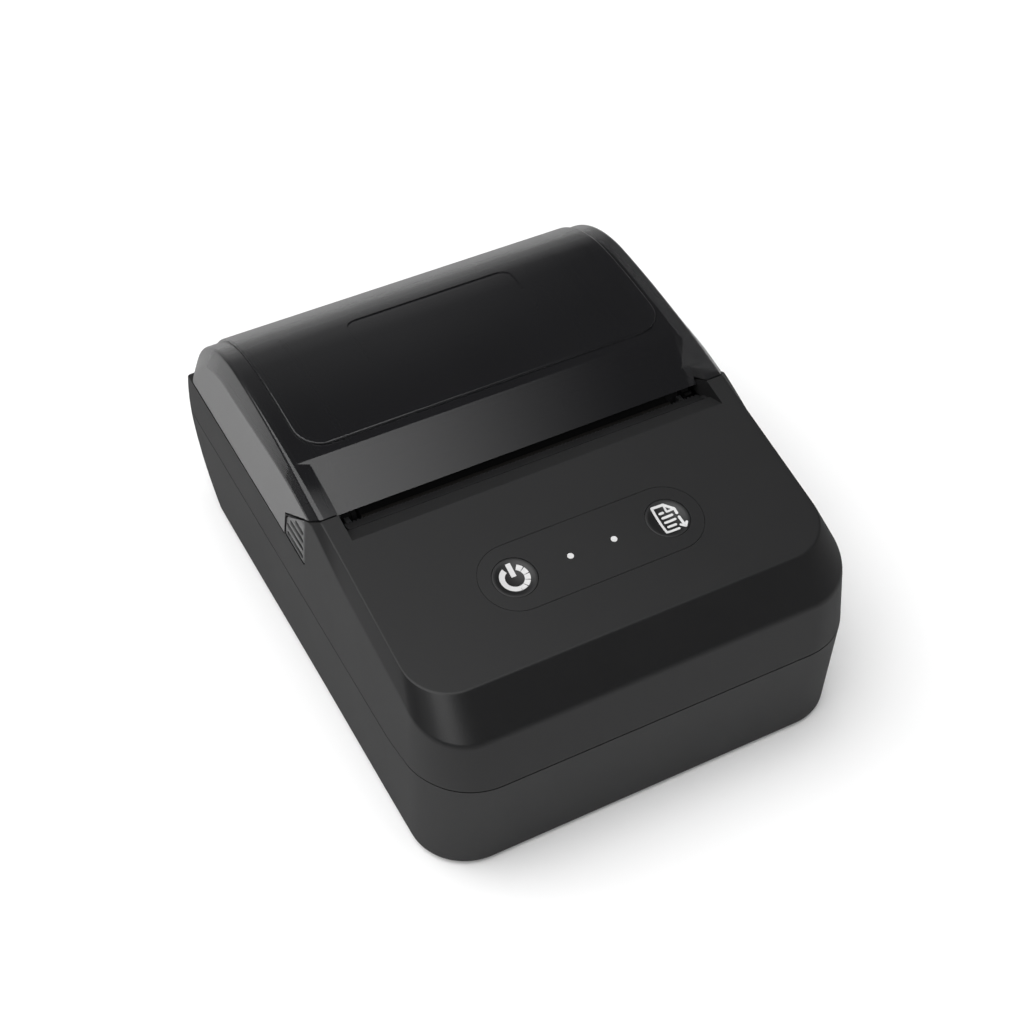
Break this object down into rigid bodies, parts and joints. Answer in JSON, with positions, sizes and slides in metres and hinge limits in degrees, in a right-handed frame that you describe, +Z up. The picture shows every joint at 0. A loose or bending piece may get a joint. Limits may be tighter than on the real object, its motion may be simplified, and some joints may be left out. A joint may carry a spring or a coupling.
{
  "type": "portable_thermal_printer",
  "caption": "Mobile thermal receipt printer with a hinged smoky paper cover, side latch buttons, sloping control pill and an 80 mm class paper roll bay",
  "frame": {"origin": "centre of the footprint, on the surface that the rubber feet stand on", "axes": "+X to the printer's right seen from the front, +Y to the back where the hinge is, +Z up"},
  "size_m": [0.109, 0.145, 0.0652],
  "materials": {
    "casing_plastic": "fine spark-eroded texture",
    "smoky_plastic": "translucent smoky grey, glossy",
    "button_plastic": "satin",
    "inner_plastic": "plain moulded",
    "overlay_film": "satin film",
    "bright_steel": "nickel plated",
    "sheet_steel": "zinc plated sheet",
    "dark_metal": "blackened steel",
    "bare_aluminium": "extruded",
    "gear_brass": "machined",
    "ceramic": "dark glazed ceramic",
    "black_rubber": "ground",
    "black_acetal": "plain moulded",
    "flex_film": "polyimide film",
    "circuit_board": "solder mask",
    "component_black": "moulded epoxy",
    "clear_guide": "frosted clear",
    "lamp_yellow": "lamp resin",
    "battery_wrap": "shrink wrap"
  },
  "bodies": {
    "casing": {"lower_shell": "casing_plastic", "upper_shell": "casing_plastic", "hinge_pins": "bright_steel", "roll_tray": "inner_plastic", "mechanism_frame": "sheet_steel", "head_leaf_spring": "bright_steel", "head_flex_cable": "flex_film", "platen_bushes": "black_acetal", "idler_pin": "bright_steel", "stepper_motor": "sheet_steel", "motor_screws": "bright_steel", "tear_bar": "dark_metal", "control_overlay": "overlay_film", "key_board": "circuit_board", "key_switches": "component_black", "light_guides": "clear_guide", "status_lights": "lamp_yellow", "key_board_screws": "bright_steel", "key_cable": "flex_film", "main_board": "circuit_board", "charge_socket": "bright_steel", "board_chips": "component_black", "radio_module": "sheet_steel", "board_capacitors": "component_black", "board_connectors": "black_acetal", "board_screws": "bright_steel", "buzzer": "component_black", "battery_pack": "battery_wrap", "battery_contacts": "gear_brass", "battery_door": "casing_plastic", "battery_door_screws": "bright_steel", "case_screws": "bright_steel", "rubber_feet": "black_rubber", "paper_sensor": "component_black", "cover_switch": "component_black", "frame_screws": "bright_steel"},
    "cover": {"paper_cover": "smoky_plastic", "platen_carrier": "inner_plastic", "carrier_screws": "bright_steel"},
    "platen": {"platen_shaft": "bright_steel", "platen_roller": "black_rubber", "platen_gear": "black_acetal"},
    "idler": {"idler_gear": "black_acetal"},
    "motor_rotor": {"motor_shaft": "bright_steel", "motor_pinion": "gear_brass"},
    "printhead": {"heat_sink": "bare_aluminium", "thermal_head": "ceramic"},
    "latch_left": {"latch_left": "button_plastic"},
    "latch_right": {"latch_right": "button_plastic"},
    "power_key": {"power_button": "button_plastic", "power_plunger": "black_acetal"},
    "feed_key": {"feed_button": "button_plastic", "feed_plunger": "black_acetal"}
  },
  "joints": [
    {"name": "cover_hinge", "type": "hinge", "parent": "casing", "child": "cover", "pos_m": [0, 0.0698, 0.0386], "axis": [-1, 0, 0], "range_deg": [0, 100]},
    {"name": "platen_spin", "type": "hinge", "parent": "cover", "child": "platen", "pos_m": [0, 0, 0.0486], "axis": [1, 0, 0], "continuous": true},
    {"name": "idler_spin", "type": "hinge", "parent": "casing", "child": "idler", "pos_m": [0, -0.00156, 0.03751], "axis": [1, 0, 0], "continuous": true},
    {"name": "motor_spin", "type": "hinge", "parent": "casing", "child": "motor_rotor", "pos_m": [0, -0.01248, 0.02767], "axis": [1, 0, 0], "continuous": true},
    {"name": "printhead_pivot", "type": "hinge", "parent": "casing", "child": "printhead", "pos_m": [0, -0.0081, 0.0405], "axis": [1, 0, 0], "range_deg": [0, 2.5], "stiffness_Nm_per_rad": 0.6},
    {"name": "latch_left_press", "type": "slide", "parent": "casing", "child": "latch_left", "axis": [1, 0, 0], "range_m": [0, 0.0014], "stiffness_N_per_m": 500},
    {"name": "latch_right_press", "type": "slide", "parent": "casing", "child": "latch_right", "axis": [-1, 0, 0], "range_m": [0, 0.0014], "stiffness_N_per_m": 500},
    {"name": "power_button_press", "type": "slide", "parent": "casing", "child": "power_key", "axis": [0, 0.1719, -0.9851], "range_m": [0, 0.0008], "stiffness_N_per_m": 400},
    {"name": "feed_button_press", "type": "slide", "parent": "casing", "child": "feed_key", "axis": [0, 0.1719, -0.9851], "range_m": [0, 0.0008], "stiffness_N_per_m": 400}
  ],
  "couplings": [
    {"joint": "idler_spin", "follows": "platen_spin", "ratio": -1.2857},
    {"joint": "motor_spin", "follows": "platen_spin", "ratio": 3.2143}
  ]
}
